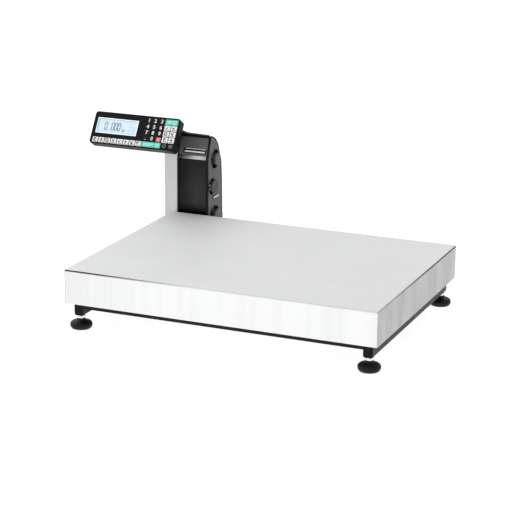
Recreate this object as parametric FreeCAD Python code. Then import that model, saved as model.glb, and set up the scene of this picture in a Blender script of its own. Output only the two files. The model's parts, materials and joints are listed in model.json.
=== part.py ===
"""Label printing scale: a stainless platform, a column behind it, a label printer and a tilting terminal.

Millimetres. The design frame has its origin on the floor under the middle of the pan, +X to the
operator's right along the front edge, +Y away from the operator and +Z up. Every piece is moved at
the end so that the stored origin lies under the middle of the whole object's box.
"""

import FreeCAD, Part
import math
import os

V = FreeCAD.Vector
X_AXIS, Y_AXIS, Z_AXIS = V(1, 0, 0), V(0, 1, 0), V(0, 0, 1)

# Weighing pan
PAN_X, PAN_Y = 800.0, 600.0
PAN_TOP = 153.6
SKIRT = 85.6
PAN_SHEET = 1.5
PAN_BEND = 3.0

# Levelling feet
FOOT_X, FOOT_Y = 372.0, 269.6
PAD_R, PAD_H = 27.5, 20.0
BOSS_R, BOSS_TOP = 10.5, 26.6
STUD_R = 6.0
STUD_TOP = 66.0
THREAD_GAP = 0.05
NUT_FLATS = 19.0
NUT_Z0, NUT_Z1 = 27.0, 33.3

# Base frame
RAIL_W, RAIL_WALL = 24.0, 2.5
RAIL_OUTER_X = 384.0
RAIL_CORNER = 5.0
RAIL_Z0, RAIL_Z1 = 34.0, 84.0
FRAME_END_Y = 281.0
PLUG_T, PLUG_DEPTH = 1.6, 1.5
BUSH_R, BUSH_Z0 = 8.2, 33.6
CROSS_D = 25.0
CROSS_Z0, CROSS_Z1 = 52.6, 82.6
BEAM_HALF_Y, BEAM_Z0, BEAM_Z1 = 40.0, 42.0, 72.0
RAIL_INNER_X = RAIL_OUTER_X - RAIL_W

# Load cell and load frame
CELL_L, CELL_W, CELL_H = 150.0, 38.0, 38.0
SPACER_T, SPACER_L = 4.0, 50.0
CELL_Z0 = BEAM_Z1 + SPACER_T
CELL_Z1 = CELL_Z0 + CELL_H
ARM_Z0, ARM_H, ARM_W, ARM_WALL = CELL_Z1 + SPACER_T, 20.0, 40.0, 2.0
ARM_Z1 = ARM_Z0 + ARM_H
ARM_X, ARM_END_Y = 310.0, 280.0
REST_Y, REST_R = 250.0, 12.0
REST_GAP = 0.1
STOP_GAP = 1.5

# Rear bracket and column
BRACKET_Z0, BRACKET_T = 50.0, 6.0
BRACKET_END_Y = 402.0
COLUMN_X0, COLUMN_X1 = -428.0, -388.0
COLUMN_Y0, COLUMN_Y1 = 312.0, 392.0
COLUMN_TOP, COLUMN_WALL = 350.0, 2.0
COLUMN_FOOT_T = 4.0

# Terminal, in its own axes: u along its width, w into its depth, v up its face
TERM_LEFT, TERM_FRONT, TERM_BOTTOM = -618.4, 240.0, 335.0
TERM_TILT = 31.4
TERM_W, TERM_H, TERM_D = 252.9, 91.4, 30.0
BEZEL_D = 14.0
TERM_WALL = 2.5
TERM_CORNER = 8.0
LCD_U0, LCD_U1, LCD_V0, LCD_V1 = 11.2, 133.2, 30.5, 74.5
KEYS_U0, KEYS_U1, KEYS_V0, KEYS_V1 = 4.5, 248.4, 3.6, 88.0
FILM_T = 0.6
PIVOT_W, PIVOT_V = 38.6, 50.0
LUG_R, EAR_R, BOLT_R = 7.5, 8.0, 3.0
LUG_X0, LUG_X1 = -419.7, -396.3

# Printer module: outline in the YZ plane
PRINTER_X0, PRINTER_X1 = -387.5, -297.0
PRINTER_BOTTOM = 78.0
PRINTER_FRONT, PRINTER_BACK = 309.0, 406.0
KNEE_Z = 301.0
CREST_Y, CREST_Z = 331.0, 364.0
SHELL = 2.5
SLOPE = math.degrees(math.atan2(CREST_Y - PRINTER_FRONT, CREST_Z - KNEE_Z))
POST_L, POST_R = -384.5, -303.5
COVER_T = 2.6
COVER_GAP = 0.4
LABEL_X0, LABEL_X1 = -368.0, -310.0
SLOT_S0, SLOT_S1 = 16.4, 29.6
INLET_X0, INLET_X1, INLET_Z0, INLET_Z1 = -355.5, -326.5, 90.5, 111.5

# Cartridge
PANEL_X0, PANEL_X1 = -300.0, -297.4
PLATE_X0, PLATE_X1 = -306.4, -304.0
ROLL_X0 = -374.0
ROLL_Y, ROLL_Z, ROLL_R = 354.0, 135.0, 34.0
HUB_R, HUB_KNOB_R = 12.4, 27.0
SPOOL_Y, SPOOL_Z, SPOOL_CORE_R = 337.0, 225.0, 9.0
SPOOL_KNOB_R = 19.0
PLATEN_Y, PLATEN_Z, PLATEN_R = 331.0, 313.0, 11.0
LEVER_Y, LEVER_Z, LEVER_KNOB_R = 357.0, 297.0, 16.5
LEVER_REST = 150.0
LATCH_Y, LATCH_Z, LATCH_L = 345.0, 192.7, 32.0
PANEL_HOLES = ((LEVER_Y, LEVER_Z, 26.5), (SPOOL_Y, SPOOL_Z, 22.0), (ROLL_Y, ROLL_Z, 33.0))
GUIDE_RODS = ((322.0, 185.0), (322.0, 262.0), (366.0, 190.0))
GUIDE_R = 3.0
RUN_GAP = 0.05

# Printer drive
GEAR_MODULE = 0.8
PLATEN_TEETH, IDLER_TEETH, PINION_TEETH = 24, 58, 12
GEAR_X0, GEAR_X1 = -384.4, -380.4
MOTOR_Y, MOTOR_Z, MOTOR_R = 374.5, 270.5, 17.5

# The stored origin: under the middle of the object's box
ORIGIN = V((TERM_LEFT + PAN_X / 2) / 2, (PRINTER_BACK - PAN_Y / 2) / 2, 0)


def box(x0, x1, y0, y1, z0, z1):
    return Part.makeBox(x1 - x0, y1 - y0, z1 - z0, V(x0, y0, z0))


def rod(x, y, z, radius, length, axis=Z_AXIS):
    return Part.makeCylinder(radius, length, V(x, y, z), axis)


def x_rod(x0, x1, y, z, radius):
    return rod(x0, y, z, radius, x1 - x0, X_AXIS)


def ring(x0, x1, y, z, outer, inner):
    return x_rod(x0, x1, y, z, outer).cut(x_rod(x0 - 1, x1 + 1, y, z, inner))


def hex_prism(x, y, z, flats, height, axis=Z_AXIS):
    """A hexagonal prism whose first end is centred on the point."""
    radius = flats / math.sqrt(3)
    rim = []
    for i in range(7):
        turn = i * math.pi / 3
        rim.append(V(radius * math.cos(turn), radius * math.sin(turn), 0))
    prism = Part.Face(Part.makePolygon(rim)).extrude(V(0, 0, height))
    prism.Placement = FreeCAD.Placement(V(x, y, z), FreeCAD.Rotation(Z_AXIS, axis))
    return prism


def prism_yz(points, x0, x1):
    """A prism along X over a straight-sided outline of (y, z) points."""
    rim = [V(x0, y, z) for y, z in points]
    return Part.Face(Part.makePolygon(rim + rim[:1])).extrude(V(x1 - x0, 0, 0))


def prism_xz(points, y0, y1):
    """A prism along Y over a straight-sided outline of (x, z) points."""
    rim = [V(x, y0, z) for x, z in points]
    return Part.Face(Part.makePolygon(rim + rim[:1])).extrude(V(0, y1 - y0, 0))


def join(shapes):
    whole = shapes[0].multiFuse(list(shapes[1:])) if len(shapes) > 1 else shapes[0]
    return whole.removeSplitter()


def group(shapes):
    return Part.makeCompound(shapes)


def edges_along(shape, axis, length_over=0.0):
    """The straight edges parallel to an axis, at least as long as asked."""
    found = []
    for edge in shape.Edges:
        if edge.Curve.TypeId == "Part::GeomLine" and edge.Length >= length_over:
            if abs(abs(edge.tangentAt(edge.FirstParameter).dot(axis)) - 1) < 1e-6:
                found.append(edge)
    return found


def outer_rim(shape, x):
    """The round edges that lie in the plane at x."""
    return [e for e in shape.Edges if e.BoundBox.XLength < 1e-6 and abs(e.BoundBox.XMin - x) < 1e-6]


def save(name, shape):
    moved = shape.copy()
    moved.translate(-ORIGIN)
    moved.exportStep(os.path.join("parts", name + ".step"))


def corners(x, y):
    return [(sx * x, sy * y) for sy in (-1, 1) for sx in (-1, 1)]


# ---------------------------------------------------------------- platform

def weighing_pan():
    """One sheet folded down on four sides, open underneath."""
    def tray(inset, top, bottom, bend):
        half_x, half_y = PAN_X / 2 - inset, PAN_Y / 2 - inset
        solid = box(-half_x, half_x, -half_y, half_y, bottom, top)
        solid = solid.makeFillet(bend, edges_along(solid, Z_AXIS))
        upper = [e for e in solid.Edges if abs(e.BoundBox.ZMin - top) < 1e-6]
        return solid.makeFillet(bend, upper)

    outer = tray(0, PAN_TOP, PAN_TOP - SKIRT, PAN_BEND)
    inner = tray(PAN_SHEET, PAN_TOP - PAN_SHEET, PAN_TOP - SKIRT - 5, PAN_BEND - PAN_SHEET)
    return outer.cut(inner)


def side_rails():
    rails = []
    for side in (-1, 1):
        x0, x1 = sorted((side * RAIL_OUTER_X, side * RAIL_INNER_X))
        end = FRAME_END_Y - PLUG_T
        tube = box(x0, x1, -end, end, RAIL_Z0, RAIL_Z1)
        tube = tube.makeFillet(RAIL_CORNER, edges_along(tube, Y_AXIS))
        bore = box(x0 + RAIL_WALL, x1 - RAIL_WALL, -end - 1, end + 1,
                   RAIL_Z0 + RAIL_WALL, RAIL_Z1 - RAIL_WALL)
        tube = tube.cut(bore)
        for y in (-FOOT_Y, FOOT_Y):
            tube = tube.cut(rod(side * FOOT_X, y, RAIL_Z0 - 1, BUSH_R, RAIL_Z1 - RAIL_Z0 + 2))
        rails.append(tube)
    return group(rails)


def rail_end_plugs():
    plugs = []
    for x, y in corners(FOOT_X, FRAME_END_Y):
        out = math.copysign(1, y)
        half, inner = RAIL_W / 2, RAIL_W / 2 - RAIL_WALL
        cap_y = sorted((y, y - out * PLUG_T))
        stub_y = sorted((y - out * PLUG_T, y - out * (PLUG_T + PLUG_DEPTH)))
        cap = box(x - half, x + half, cap_y[0], cap_y[1], RAIL_Z0, RAIL_Z1)
        cap = cap.makeFillet(RAIL_CORNER, edges_along(cap, Y_AXIS))
        stub = box(x - inner, x + inner, stub_y[0], stub_y[1], RAIL_Z0 + RAIL_WALL, RAIL_Z1 - RAIL_WALL)
        plugs.append(join([cap, stub]))
    return group(plugs)


def foot_bushes():
    bushes = []
    for x, y in corners(FOOT_X, FOOT_Y):
        body = rod(x, y, BUSH_Z0, BUSH_R, RAIL_Z1 - BUSH_Z0)
        bushes.append(body.cut(rod(x, y, BUSH_Z0 - 1, STUD_R + THREAD_GAP, RAIL_Z1)))
    return group(bushes)


def cross_rail(side):
    y0, y1 = sorted((side * FRAME_END_Y, side * (FRAME_END_Y - CROSS_D)))
    tube = box(-RAIL_INNER_X, RAIL_INNER_X, y0, y1, CROSS_Z0, CROSS_Z1)
    bore = box(-RAIL_INNER_X - 1, RAIL_INNER_X + 1, y0 + RAIL_WALL, y1 - RAIL_WALL,
               CROSS_Z0 + RAIL_WALL, CROSS_Z1 - RAIL_WALL)
    return tube.cut(bore)


def centre_beam():
    tube = box(-RAIL_INNER_X, RAIL_INNER_X, -BEAM_HALF_Y, BEAM_HALF_Y, BEAM_Z0, BEAM_Z1)
    wall = 3.0
    return tube.cut(box(-RAIL_INNER_X - 1, RAIL_INNER_X + 1, -BEAM_HALF_Y + wall, BEAM_HALF_Y - wall,
                        BEAM_Z0 + wall, BEAM_Z1 - wall))


def spacer_x(end):
    """The X span of the spacer at the cell's fixed end (-1) or loaded end (1)."""
    return sorted((end * CELL_L / 2, end * (CELL_L / 2 - SPACER_L)))


def load_cell():
    """An aluminium bar with the double bore that makes it bend as a parallelogram."""
    bar = box(-CELL_L / 2, CELL_L / 2, -CELL_W / 2, CELL_W / 2, CELL_Z0, CELL_Z1)
    middle = (CELL_Z0 + CELL_Z1) / 2
    hole_r, reach = 12.0, 13.0
    for x in (-reach, reach):
        bar = bar.cut(rod(x, -CELL_W, middle, hole_r, 2 * CELL_W, Y_AXIS))
    bar = bar.cut(box(-reach, reach, -CELL_W, CELL_W, middle - 5, middle + 5))
    return bar


def load_cell_mounts():
    """Both spacer plates, the screws under the beam's lid and the screw heads on the load frame."""
    pieces = []
    for end, z in ((-1, BEAM_Z1), (1, CELL_Z1)):
        x0, x1 = spacer_x(end)
        pieces.append(box(x0, x1, -CELL_W / 2, CELL_W / 2, z, z + SPACER_T))
        head_z, axis = (BEAM_Z0, -Z_AXIS) if end < 0 else (ARM_Z1, Z_AXIS)
        for x in (x0 + 12, x1 - 12):
            for y in (-11.0, 11.0):
                pieces.append(hex_prism(x, y, head_z, 10.0, 5.0, axis))
    return group(pieces)


def load_frame():
    """Three cross arms on a long centre tube, butted and welded."""
    half = ARM_W / 2

    def tube(x0, x1, y0, y1, along_x):
        wall = ARM_WALL
        dx, dy = (-1, wall) if along_x else (wall, -1)
        bore = box(x0 + dx, x1 - dx, y0 + dy, y1 - dy, ARM_Z0 + wall, ARM_Z1 - wall)
        return box(x0, x1, y0, y1, ARM_Z0, ARM_Z1).cut(bore)

    tubes = [tube(-ARM_X + half, ARM_X - half, -half, half, True)]
    for x in (-ARM_X, ARM_X):
        tubes.append(tube(x - half, x + half, -ARM_END_Y, ARM_END_Y, False))
    for side in (-1, 1):
        y0, y1 = sorted((side * half, side * ARM_END_Y))
        tubes.append(tube(-half, half, y0, y1, False))
    return group(tubes)


def load_frame_pads():
    height = PAN_TOP - PAN_SHEET - REST_GAP - ARM_Z1
    pads = []
    for x in (-ARM_X, 0.0, ARM_X):
        for y in (-REST_Y, REST_Y):
            pads.append(Part.makeCone(REST_R, REST_R - 2, height, V(x, y, ARM_Z1)))
    return group(pads)


def overload_stops():
    """A screw under each outer arm, locked by a nut, that catches the frame when it is overloaded."""
    head, nut = 6.0, 8.0
    top = ARM_Z0 - STOP_GAP
    stops = []
    for x, y in corners(ARM_X, FRAME_END_Y - CROSS_D / 2):
        shank = rod(x, y, CROSS_Z1, 5.0, top - CROSS_Z1)
        head_part = hex_prism(x, y, top - head, 17.0, head)
        nut_part = hex_prism(x, y, CROSS_Z1, 17.0, nut)
        stops.append(join([shank, head_part, nut_part]))
    return group(stops)


def signal_box():
    """Die-cast box for the load cell amplifier, with a cable gland towards the cell."""
    body = box(130, 230, -30, 30, BEAM_Z1, BEAM_Z1 + 30)
    body = body.makeFillet(4.0, edges_along(body, Z_AXIS))
    return join([body, rod(118, 0, BEAM_Z1 + 14, 7.0, 13, X_AXIS)])


def foot_stud(x, y):
    """Threaded stud with a collar that is moulded into the pad."""
    return join([rod(x, y, 6.0, STUD_R, STUD_TOP - 6.0), rod(x, y, 6.0, 11.0, 4.0)])


def foot_pad(x, y):
    """Round grip pad: flat sole, bulging rim, sloping top and a raised boss round the stud."""
    sole, brim, shoulder = V(PAD_R - 6.5, 0, 0), V(PAD_R, 0, 10.0), V(PAD_R - 6.5, 0, 18.6)
    neck = V(BOSS_R + 2.5, 0, PAD_H)
    lower = Part.Arc(sole, V(PAD_R - 1.6, 0, 4.6), brim).toShape()
    upper = Part.Arc(brim, V(PAD_R - 1.8, 0, 15.6), shoulder).toShape()
    boss = [V(BOSS_R, 0, PAD_H + 2.0), V(BOSS_R, 0, BOSS_TOP), V(0, 0, BOSS_TOP)]
    top = [shoulder, neck, *boss, V(0, 0, 0), sole]
    outline = Part.Wire([lower, upper] + [Part.makeLine(p, q) for p, q in zip(top, top[1:])])
    pad = Part.Face(outline).revolve(V(0, 0, 0), Z_AXIS, 360)
    pad = Part.makeSolid(pad) if pad.ShapeType != "Solid" else pad
    pad.translate(V(x, y, 0))
    return pad.cut(foot_stud(x, y))


def foot_nut(x, y):
    nut = hex_prism(x, y, NUT_Z0, NUT_FLATS, NUT_Z1 - NUT_Z0)
    slope = 4.6
    cone = Part.makeCone(NUT_FLATS / 2 + 4.2, NUT_FLATS / 2, slope, V(x, y, NUT_Z1 - slope))
    top = box(x - 20, x + 20, y - 20, y + 20, NUT_Z1 - slope, NUT_Z1)
    chamfered = nut.cut(top.cut(cone))
    return chamfered.cut(rod(x, y, NUT_Z0 - 1, STUD_R + THREAD_GAP, 20))


# ---------------------------------------------------------------- rear bracket and column

def rear_bracket():
    """A plate under the skirt, its flange on the rear rail and two ribs below."""
    y0 = FRAME_END_Y
    plate = box(-430, -262, y0, BRACKET_END_Y, BRACKET_Z0, BRACKET_Z0 + BRACKET_T)
    flange = box(-356, -262, y0, y0 + 5, BRACKET_Z0, CROSS_Z1)
    ribs = [box(x, x + 5, y0, BRACKET_END_Y - 8, 36, BRACKET_Z0) for x in (-424, -350, -286)]
    return join([plate, flange] + ribs)


def mounting_screws():
    """Screw heads: bracket to rear rail, column foot to bracket, printer to column, terminal bracket."""
    heads = [hex_prism(x, FRAME_END_Y + 5, 70, 13, 5.5, Y_AXIS) for x in (-335, -309, -283)]
    foot_top = BRACKET_Z0 + BRACKET_T + COLUMN_FOOT_T
    heads += [hex_prism(-364, y, foot_top, 10, 4) for y in (326, 378)]
    wall = PRINTER_X0 + SHELL
    heads += [x_rod(wall, wall + 3, 380, z, 4.5) for z in (110, 220)]
    heads += [rod(x, COLUMN_Y0 - 4, z, 3.0, 2.5, -Y_AXIS) for x in (-415, -401) for z in (334, 368)]
    return group(heads)


def bubble_level():
    """Round level: a flanged cup that holds the vial."""
    z = BRACKET_Z0 + BRACKET_T
    cup = join([rod(-274, 350, z, 9.5, 3), rod(-274, 350, z, 8.0, 11)])
    return cup.cut(rod(-274, 350, z + 3, 6.5, 20))


def level_vial():
    z = BRACKET_Z0 + BRACKET_T
    vial = rod(-274, 350, z + 3, 6.5, 8.5)
    return vial.makeFillet(1.2, [e for e in vial.Edges if abs(e.BoundBox.ZMin - z - 11.5) < 1e-6])


def column():
    z0 = BRACKET_Z0 + BRACKET_T
    tube = box(COLUMN_X0, COLUMN_X1, COLUMN_Y0, COLUMN_Y1, z0, COLUMN_TOP)
    tube = tube.makeFillet(3.0, edges_along(tube, Z_AXIS))
    wall = COLUMN_WALL
    bore = box(COLUMN_X0 + wall, COLUMN_X1 - wall, COLUMN_Y0 + wall, COLUMN_Y1 - wall,
               z0 + COLUMN_FOOT_T, COLUMN_TOP + 1)
    foot = box(COLUMN_X0 - 2, COLUMN_X1 + 36, COLUMN_Y0 - 6, COLUMN_Y1 + 6, z0, z0 + COLUMN_FOOT_T)
    return join([tube, foot]).cut(bore)


def column_cap():
    """Moulded cap: a plug in the tube, a top that falls to the back and a lip over the printer's crest."""
    front, back = COLUMN_TOP + 26, COLUMN_TOP + 2.5
    side = [(COLUMN_Y0, COLUMN_TOP), (COLUMN_Y0, front), (COLUMN_Y0 + 10, front), (COLUMN_Y1 - 44, back),
            (COLUMN_Y1, back), (COLUMN_Y1, COLUMN_TOP)]
    top = prism_yz(side, COLUMN_X0, COLUMN_X1)
    top = top.makeFillet(2.0, edges_along(top, Z_AXIS))
    wall = COLUMN_WALL
    plug = box(COLUMN_X0 + wall, COLUMN_X1 - wall, COLUMN_Y0 + wall, COLUMN_Y1 - wall,
               COLUMN_TOP - 8, COLUMN_TOP)
    low, high = CREST_Z + 0.6, front - 3
    lip = prism_xz([(COLUMN_X1 - 10, low), (COLUMN_X1 - 10, high), (COLUMN_X1, high), (LABEL_X0, low + 2.6),
                    (POST_R, low + 0.8), (POST_R, low)], COLUMN_Y0 + 12, CREST_Y + 6)
    return join([top, plug, lip])


def pivot():
    """The terminal's tilt axis in the design frame."""
    at = tilt(V(0, PIVOT_W, PIVOT_V))
    return at.y, at.z


def hinge_bracket():
    y, z = pivot()
    wall_y = COLUMN_Y0 - 4
    plate = box(-424, -392, wall_y, COLUMN_Y0, 328, 374)
    pieces = [plate]
    for x0, x1 in ((-424.0, -420.0), (-396.0, -392.0)):
        pieces.append(join([x_rod(x0, x1, y, z, EAR_R), box(x0, x1, y, wall_y, z - EAR_R, z + EAR_R)]))
    bracket = join(pieces)
    return bracket.cut(x_rod(-425, -391, y, z, BOLT_R))


def hinge_bolt():
    """Bolt through both ears, with a ribbed hand knob on the left and a nut on the right."""
    y, z = pivot()
    knob = x_rod(-438, -426, y, z, EAR_R)
    for i in range(10):
        turn = i * math.pi / 5
        reach = EAR_R + 0.6
        knob = knob.cut(x_rod(-439, -428, y + reach * math.cos(turn), z + reach * math.sin(turn), 1.4))
    return join([knob, x_rod(-427, -424, y, z, 6.0), x_rod(-424, -388, y, z, BOLT_R),
                 hex_prism(-392, y, z, 10, 4, X_AXIS)])


# ---------------------------------------------------------------- terminal

TERM_PLACEMENT = FreeCAD.Placement(V(TERM_LEFT, TERM_FRONT, TERM_BOTTOM),
                                   FreeCAD.Rotation(X_AXIS, -TERM_TILT))


def tilt(point):
    return TERM_PLACEMENT.multVec(point)


def placed(shape):
    """Carries a shape from the terminal's own axes to the design frame."""
    shape = shape.copy()
    shape.Placement = TERM_PLACEMENT.multiply(shape.Placement)
    return shape


def slab(u0, u1, w0, w1, v0, v1, corner=0.0):
    plate = box(u0, u1, w0, w1, v0, v1)
    return plate.makeFillet(corner, edges_along(plate, Y_AXIS)) if corner else plate


def terminal_bezel():
    outer = slab(0, TERM_W, 0, BEZEL_D, 0, TERM_H, TERM_CORNER)
    front = [e for e in outer.Edges if abs(e.BoundBox.YMax) < 1e-6]
    outer = outer.makeFillet(1.5, front)
    wall = TERM_WALL
    hollow = slab(wall, TERM_W - wall, wall, BEZEL_D + 1, wall, TERM_H - wall, TERM_CORNER - wall)
    shell = outer.cut(hollow).cut(slab(KEYS_U0, KEYS_U1, -1, FILM_T, KEYS_V0, KEYS_V1, 5.0))
    window = slab(LCD_U0 + 2.5, LCD_U1 - 2.5, -1, 5, LCD_V0 + 2.5, LCD_V1 - 2.5)
    return placed(shell.cut(window).cut(slab(LCD_U0, LCD_U1, -1, 1.6, LCD_V0, LCD_V1)))


def key_panel():
    """Printed overlay let into the bezel, with a hole for the display window."""
    gap = 0.15
    sheet = slab(KEYS_U0 + gap, KEYS_U1 - gap, 0, FILM_T, KEYS_V0 + gap, KEYS_V1 - gap, 5.0)
    return placed(sheet.cut(slab(LCD_U0, LCD_U1, -1, 2, LCD_V0, LCD_V1)))


def display_window():
    return placed(slab(LCD_U0 + 0.1, LCD_U1 - 0.1, 0.2, 1.6, LCD_V0 + 0.1, LCD_V1 - 0.1))


def display_module():
    return placed(slab(LCD_U0 - 3, LCD_U1 + 3, TERM_WALL + 0.2, 9, LCD_V0 - 4, LCD_V1 + 6))


def terminal_board():
    return placed(slab(7, TERM_W - 7, 11.4, 13.0, 6, TERM_H - 6))


def terminal_shell():
    """Rear half: a tub with rounded back edges."""
    wall = TERM_WALL
    outer = slab(0, TERM_W, BEZEL_D, TERM_D, 0, TERM_H, TERM_CORNER)
    back = [e for e in outer.Edges if abs(e.BoundBox.YMin - TERM_D) < 1e-6]
    outer = outer.makeFillet(6.0, back)
    tub = slab(wall, TERM_W - wall, BEZEL_D - 1, TERM_D - wall, wall, TERM_H - wall, TERM_CORNER - wall)
    return placed(outer.cut(tub))


def terminal_lug():
    """Knuckle on a foot plate that is screwed to the back of the terminal."""
    u0, u1 = LUG_X0 - TERM_LEFT, LUG_X1 - TERM_LEFT
    foot = box(u0, u1, TERM_D, TERM_D + 3, PIVOT_V - 18, PIVOT_V + 18)
    web = box(u0, u1, TERM_D, PIVOT_W, PIVOT_V - LUG_R, PIVOT_V + LUG_R)
    knuckle = x_rod(u0, u1, PIVOT_W, PIVOT_V, LUG_R)
    bore = x_rod(u0 - 1, u1 + 1, PIVOT_W, PIVOT_V, BOLT_R + RUN_GAP)
    return placed(join([foot, web, knuckle]).cut(bore))


# ---------------------------------------------------------------- printer module

def printer_outline(x, inset=0.0):
    """The module's side outline as a face at X, drawn in by the inset."""
    corners_yz = [(PRINTER_FRONT, PRINTER_BOTTOM), (PRINTER_FRONT, KNEE_Z), (CREST_Y, CREST_Z)]
    back = [(384.0, 315.6), (397.0, 284.6), (401.5, 235.0), (PRINTER_BACK, PRINTER_BOTTOM)]
    front_points = [V(x, y, z) for y, z in corners_yz]
    back_points = [V(x, y, z) for y, z in back]
    crown = Part.Arc(front_points[-1], V(x, 364.0, 348.6), back_points[0]).toShape()
    edges = [Part.makeLine(a, b) for a, b in zip(front_points, front_points[1:])] + [crown]
    edges += [Part.makeLine(a, b) for a, b in zip(back_points, back_points[1:])]
    edges.append(Part.makeLine(back_points[-1], front_points[0]))
    wire = Part.Wire(edges)
    if inset:
        wire = wire.makeOffset2D(-inset, 2, False, False, False)
    return Part.Face(wire)


def printer_prism(x0, x1, inset=0.0):
    return printer_outline(x0, inset).extrude(V(x1 - x0, 0, 0))


def slope_box(x0, x1, s0, s1, d0, d1):
    """A box on the sloping upper front: s up the slope from the knee, d into the module."""
    shape = box(x0, x1, d0, d1, s0, s1)
    shape.Placement = FreeCAD.Placement(V(0, PRINTER_FRONT, KNEE_Z), FreeCAD.Rotation(X_AXIS, -SLOPE))
    return shape


def front_opening():
    grow = COVER_GAP
    lower = box(POST_L - grow, POST_R + grow, PRINTER_FRONT - 5, PRINTER_FRONT + 3.2, 84 - grow, KNEE_Z + 1)
    upper = slope_box(POST_L - grow, POST_R + grow, -1, 60 + grow, -5, 3.2)
    return join([lower, upper])


def printer_housing():
    shell = printer_prism(PRINTER_X0, PRINTER_X1)
    shell = shell.cut(printer_prism(PRINTER_X0 + SHELL, PRINTER_X1 + 5, SHELL))
    shell = shell.cut(front_opening())
    inlet = box(INLET_X0 - 0.5, INLET_X1 + 0.5, 380, PRINTER_BACK + 5, INLET_Z0 - 0.5, INLET_Z1 + 0.5)
    return shell.cut(inlet)


def printer_front_cover():
    """Smooth lower front, up to the exit lip at the knee."""
    y1 = PRINTER_FRONT + COVER_T
    plate = box(POST_L, POST_R, PRINTER_FRONT, y1, 84, KNEE_Z - 0.5)
    return plate.makeFillet(1.0, edges_along(plate, Z_AXIS, 100)[:2])


def label_exit_lip():
    """Bright peel and tear edge along the knee."""
    lip = slope_box(POST_L, POST_R, 0.6, 10.5, 0, COVER_T)
    return lip.makeFillet(1.0, [e for e in lip.Edges if e.Length > 50][:1])


def printer_head_cover():
    """Upper front panel with the label slot."""
    plate = slope_box(POST_L, POST_R, 11.0, 60, 0, COVER_T)
    slot = slope_box(LABEL_X0 - 4, LABEL_X1 + 4, SLOT_S0, SLOT_S1, -1, 5)
    return plate.cut(slot)


def label():
    """The next label, standing out of the slot with its tip folded down."""
    shelf = slope_box(LABEL_X0, LABEL_X1, 22.4, 22.8, -0.6, 3.8)
    tip = slope_box(LABEL_X0, LABEL_X1, 18.9, 22.8, -0.6, -0.2)
    return join([shelf, tip])


def print_head():
    """Thermal head bar on its heat sink, just over the platen roller."""
    z0 = PLATEN_Z + PLATEN_R + 0.4
    sink = box(PRINTER_X0 + SHELL, -312, 331, 350, z0 + 2, z0 + 10)
    for i in range(3):
        y = 334.5 + 5 * i
        sink = sink.cut(box(-380, -315, y, y + 2.4, z0 + 6, z0 + 11))
    return join([sink, box(ROLL_X0, -312, 327, 338, z0, z0 + 3)])


def gear(y, z, teeth, phase, bore):
    """Straight toothed wheel with tapered flanks; phase turns its first tooth, in degrees."""
    pitch_r = GEAR_MODULE * teeth / 2
    tip_r, root_r = pitch_r + 0.8 * GEAR_MODULE, pitch_r - 1.15 * GEAR_MODULE
    step = 2 * math.pi / teeth
    points = []
    for i in range(teeth):
        at = math.radians(phase) + i * step
        for radius, offset in ((root_r, -0.33), (tip_r, -0.11), (tip_r, 0.11), (root_r, 0.33)):
            turn = at + offset * step
            points.append((y + radius * math.cos(turn), z + radius * math.sin(turn)))
    wheel = prism_yz(points, GEAR_X0, GEAR_X1)
    return wheel.cut(x_rod(GEAR_X0 - 1, GEAR_X1 + 1, y, z, bore)) if bore else wheel


def gear_train():
    """Centres and phases of platen gear, idler and pinion, all three on one line.

    The idler has an even number of teeth, so it turns a gap to both of its neighbours at once.
    """
    run_y, run_z = MOTOR_Y - PLATEN_Y, MOTOR_Z - PLATEN_Z
    reach = math.hypot(run_y, run_z)
    line = math.degrees(math.atan2(run_z, run_y))
    to_idler = GEAR_MODULE * (PLATEN_TEETH + IDLER_TEETH) / 2
    to_pinion = to_idler + GEAR_MODULE * (IDLER_TEETH + PINION_TEETH) / 2
    idler = (PLATEN_Y + run_y * to_idler / reach, PLATEN_Z + run_z * to_idler / reach)
    pinion = (PLATEN_Y + run_y * to_pinion / reach, PLATEN_Z + run_z * to_pinion / reach)
    half_tooth = 180.0 / IDLER_TEETH
    return {"platen": (PLATEN_Y, PLATEN_Z, line), "idler": (*idler, line + 180 + half_tooth),
            "pinion": (*pinion, line + 180)}


def idler_gear():
    y, z, phase = gear_train()["idler"]
    wheel = gear(y, z, IDLER_TEETH, phase, 2.0 + RUN_GAP)
    for i in range(5):
        turn = i * 2 * math.pi / 5
        hole_y, hole_z = y + 13 * math.cos(turn), z + 13 * math.sin(turn)
        wheel = wheel.cut(x_rod(GEAR_X0 - 1, GEAR_X1 + 1, hole_y, hole_z, 4.5))
    return wheel


def motor_pinion():
    y, z, phase = gear_train()["pinion"]
    shaft = x_rod(GEAR_X1, GEAR_X1 + 6, y, z, 1.5)
    return join([gear(y, z, PINION_TEETH, phase, 0), shaft])


def drive_motor():
    """Stepper motor on a plate, with the idler's fixed axle on the same plate."""
    gears = gear_train()
    y, z, _ = gears["pinion"]
    can = x_rod(-377.5, -356, y, z, MOTOR_R).cut(x_rod(-380, -373.5, y, z, 1.5 + RUN_GAP))
    idler_y, idler_z, _ = gears["idler"]
    plate = box(-379.5, -377.5, idler_y - 6, y + 12, z - MOTOR_R, idler_z + 6)
    plate = plate.cut(x_rod(-380, -377, y, z, 3.0))
    axle = x_rod(GEAR_X0, -377.5, idler_y, idler_z, 2.0)
    foot = box(PRINTER_X0 + SHELL, -377.5, y + 2, y + 12, z - MOTOR_R, z - 10)
    return join([can, plate, axle, foot])


def power_inlet():
    """Appliance inlet with three pins in the module's back wall."""
    body = box(INLET_X0, INLET_X1, 386, 404.6, INLET_Z0, INLET_Z1)
    body = body.cut(box(INLET_X0 + 4, INLET_X1 - 4, 392, 405, INLET_Z0 + 3.5, INLET_Z1 - 3.5))
    middle = (INLET_X0 + INLET_X1) / 2
    pins = [box(x - 2, x + 2, 391, 401, 98, 104) for x in (middle - 7, middle, middle + 7)]
    return join([body] + pins)


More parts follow.
